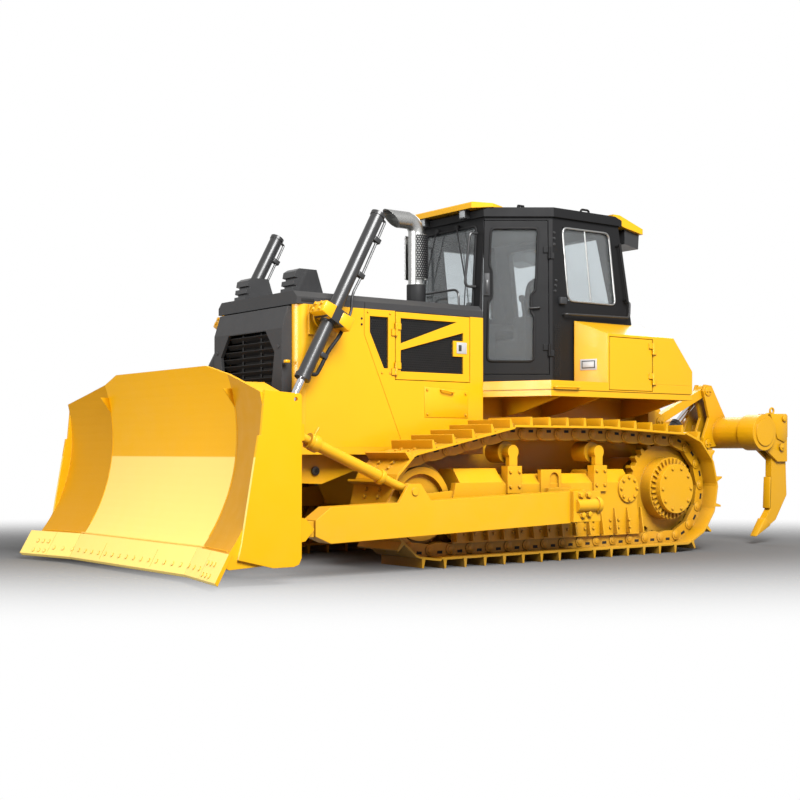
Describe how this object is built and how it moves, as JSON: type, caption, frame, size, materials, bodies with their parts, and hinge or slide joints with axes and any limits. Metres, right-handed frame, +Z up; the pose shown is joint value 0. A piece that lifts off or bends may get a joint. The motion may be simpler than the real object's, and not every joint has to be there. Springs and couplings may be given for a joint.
{
  "type": "crawler bulldozer",
  "caption": "Track-laying bulldozer with a semi-U blade on push arms, an enclosed cab, and a parallelogram ripper; blade, ripper and doors move.",
  "frame": {"origin": "on the ground under the middle of the whole machine", "axes": "+X forward, +Y to the machine's left, +Z up"},
  "size_m": [7.3208, 3.558, 3.29],
  "materials": {
    "yellow_paint": "gloss",
    "frame_paint": "gloss",
    "grey_paint": "satin",
    "cab_paint": "satin",
    "black_paint": "gloss",
    "glass": "gloss",
    "track_paint": "satin",
    "chrome": "polished",
    "engine_iron": "matte",
    "trim": "matte",
    "exhaust_steel": "satin",
    "seat_cover": "matte"
  },
  "bodies": {
    "machine": {"hull": "frame_paint", "engine": "engine_iron", "radiator_core": "engine_iron", "radiator_guard": "yellow_paint", "grille": "grey_paint", "grille_louvres": "black_paint", "hood": "grey_paint", "lamps": "trim", "side_panels": "yellow_paint", "exhaust": "exhaust_steel", "deck": "yellow_paint", "tank_left": "yellow_paint", "tank_right": "yellow_paint", "fuel_tank": "yellow_paint", "cab_frame": "cab_paint", "cab_roof": "cab_paint", "cab_visors": "yellow_paint", "cab_glass": "glass", "cab_interior": "trim", "seat": "seat_cover", "grab_rails": "cab_paint", "track_frame_left": "frame_paint", "track_frame_right": "frame_paint", "track_left": "track_paint", "track_right": "track_paint", "idlers": "track_paint", "sprockets": "track_paint", "rollers": "track_paint", "pivot_shafts": "track_paint", "ripper_mount": "frame_paint"},
    "engine_door_left": {"engine_door_left": "yellow_paint"},
    "engine_door_right": {"engine_door_right": "yellow_paint"},
    "tank_door_left": {"tank_door_left": "yellow_paint"},
    "tank_door_right": {"tank_door_right": "yellow_paint"},
    "push_arm_left": {"push_arm_left": "frame_paint"},
    "push_arm_right": {"push_arm_right": "frame_paint"},
    "brace": {"brace": "frame_paint"},
    "tilt_barrel": {"tilt_barrel": "black_paint"},
    "tilt_rod": {"tilt_rod": "chrome"},
    "lift_barrel_left": {"lift_barrel_left": "black_paint"},
    "lift_barrel_right": {"lift_barrel_right": "black_paint"},
    "lift_rod_left": {"lift_rod_left": "chrome"},
    "lift_rod_right": {"lift_rod_right": "chrome"},
    "ripper_lower_link": {"ripper_lower_link": "frame_paint"},
    "ripper_upper_links": {"ripper_upper_links": "frame_paint"},
    "ripper_barrels": {"ripper_barrels": "black_paint"},
    "ripper_rods": {"ripper_rods": "chrome"},
    "blade": {"blade": "yellow_paint", "cutting_edges": "yellow_paint"},
    "ripper_beam": {"ripper_beam": "frame_paint", "ripper_shanks": "track_paint"},
    "cab_door_left": {"cab_door_left": "cab_paint", "door_glass_left": "glass"},
    "cab_door_right": {"cab_door_right": "cab_paint", "door_glass_right": "glass"}
  },
  "joints": [
    {"name": "blade_lift", "type": "hinge", "parent": "machine", "child": "push_arm_left", "pos_m": [-0.17378, 1.45, 0.489], "axis": [0, -1, 0], "range_deg": [-8.5, 16]},
    {"name": "blade_tilt", "type": "hinge", "parent": "push_arm_left", "child": "blade", "pos_m": [2.77622, 1.45, 0.385], "axis": [1, 0, 0], "range_deg": [-5.5, 5.5]},
    {"name": "arm_right_swing", "type": "hinge", "parent": "blade", "child": "push_arm_right", "pos_m": [2.77622, -1.45, 0.385], "axis": [0, 1, 0], "range_deg": [-5.62, 5.62]},
    {"name": "brace_swing", "type": "hinge", "parent": "push_arm_left", "child": "brace", "pos_m": [1.72622, 1.45, 0.65], "axis": [1, 0, 0], "range_deg": [-9.04, 9.04]},
    {"name": "tilt_barrel_swing", "type": "hinge", "parent": "push_arm_right", "child": "tilt_barrel", "pos_m": [1.72622, -1.45, 0.65], "axis": [0, 1, 0], "range_deg": [-1.5, 1.5]},
    {"name": "tilt_rod_slide", "type": "slide", "parent": "tilt_barrel", "child": "tilt_rod", "axis": [0.9219, 0, 0.3874], "range_m": [-0.0638, 0.0638]},
    {"name": "lift_barrel_left_swing", "type": "hinge", "parent": "machine", "child": "lift_barrel_left", "pos_m": [2.02522, 0.8, 2.079], "axis": [0, -1, 0], "range_deg": [-7.55, 13.85]},
    {"name": "lift_rod_left_slide", "type": "slide", "parent": "lift_barrel_left", "child": "lift_rod_left", "axis": [0.4753, 0, -0.8798], "range_m": [-0.7742, 0.4221]},
    {"name": "lift_barrel_right_swing", "type": "hinge", "parent": "machine", "child": "lift_barrel_right", "pos_m": [2.02522, -0.8, 2.079], "axis": [0, -1, 0], "range_deg": [-7.55, 13.85]},
    {"name": "lift_rod_right_slide", "type": "slide", "parent": "lift_barrel_right", "child": "lift_rod_right", "axis": [0.4753, 0, -0.8798], "range_m": [-0.7742, 0.4221]},
    {"name": "ripper_lift", "type": "hinge", "parent": "machine", "child": "ripper_lower_link", "pos_m": [-2.18378, 0, 0.715], "axis": [0, 1, 0], "range_deg": [-42, 36]},
    {"name": "ripper_beam_level", "type": "hinge", "parent": "ripper_lower_link", "child": "ripper_beam", "pos_m": [-2.93289, 0, 1.04852], "axis": [0, 1, 0], "range_deg": [-37.56, 43.56]},
    {"name": "ripper_upper_swing", "type": "hinge", "parent": "machine", "child": "ripper_upper_links", "pos_m": [-2.18378, 0, 1.27], "axis": [0, 1, 0], "range_deg": [-43.56, 37.56]},
    {"name": "ripper_barrel_swing", "type": "hinge", "parent": "machine", "child": "ripper_barrels", "pos_m": [-2.20378, 0, 0.845], "axis": [0, 1, 0], "range_deg": [-33.54, 28.92]},
    {"name": "ripper_rod_slide", "type": "slide", "parent": "ripper_barrels", "child": "ripper_rods", "axis": [-0.7572, 0, 0.6532], "range_m": [-0.1901, 0.1639]},
    {"name": "engine_door_left_swing", "type": "hinge", "parent": "machine", "child": "engine_door_left", "pos_m": [1.25322, 0.664, 1.88], "axis": [0, 0, -1], "range_deg": [0, 100]},
    {"name": "tank_door_left_swing", "type": "hinge", "parent": "machine", "child": "tank_door_left", "pos_m": [-1.33878, 1.264, 1.79], "axis": [0, 0, 1], "range_deg": [0, 100]},
    {"name": "cab_door_left_swing", "type": "hinge", "parent": "machine", "child": "cab_door_left", "pos_m": [-0.34137, 0.89325, 2.38], "axis": [0, 0, 1], "range_deg": [0, 95]},
    {"name": "engine_door_right_swing", "type": "hinge", "parent": "machine", "child": "engine_door_right", "pos_m": [1.25322, -0.664, 1.88], "axis": [0, 0, 1], "range_deg": [0, 100]},
    {"name": "tank_door_right_swing", "type": "hinge", "parent": "machine", "child": "tank_door_right", "pos_m": [-1.33878, -1.264, 1.79], "axis": [0, 0, -1], "range_deg": [0, 100]},
    {"name": "cab_door_right_swing", "type": "hinge", "parent": "machine", "child": "cab_door_right", "pos_m": [-0.34137, -0.89325, 2.38], "axis": [0, 0, -1], "range_deg": [0, 95]}
  ],
  "couplings": [
    {"joint": "arm_right_swing", "follows": "blade_tilt", "ratio": 0.98241},
    {"joint": "brace_swing", "follows": "blade_tilt", "ratio": 1.5809},
    {"joint": "tilt_barrel_swing", "follows": "blade_tilt", "ratio": -0.26289},
    {"joint": "tilt_rod_slide", "follows": "blade_tilt", "m_per_rad": -0.63935},
    {"joint": "lift_barrel_left_swing", "follows": "blade_lift", "ratio": 0.84},
    {"joint": "lift_rod_left_slide", "follows": "blade_lift", "m_per_rad": -2.69},
    {"joint": "lift_barrel_right_swing", "follows": "blade_lift", "ratio": 0.84},
    {"joint": "lift_rod_right_slide", "follows": "blade_lift", "m_per_rad": -2.69},
    {"joint": "ripper_beam_level", "follows": "ripper_lift", "ratio": -1},
    {"joint": "ripper_upper_swing", "follows": "ripper_lift", "ratio": 1},
    {"joint": "ripper_barrel_swing", "follows": "ripper_lift", "ratio": 0.77},
    {"joint": "ripper_rod_slide", "follows": "ripper_lift", "m_per_rad": 0.25}
  ]
}
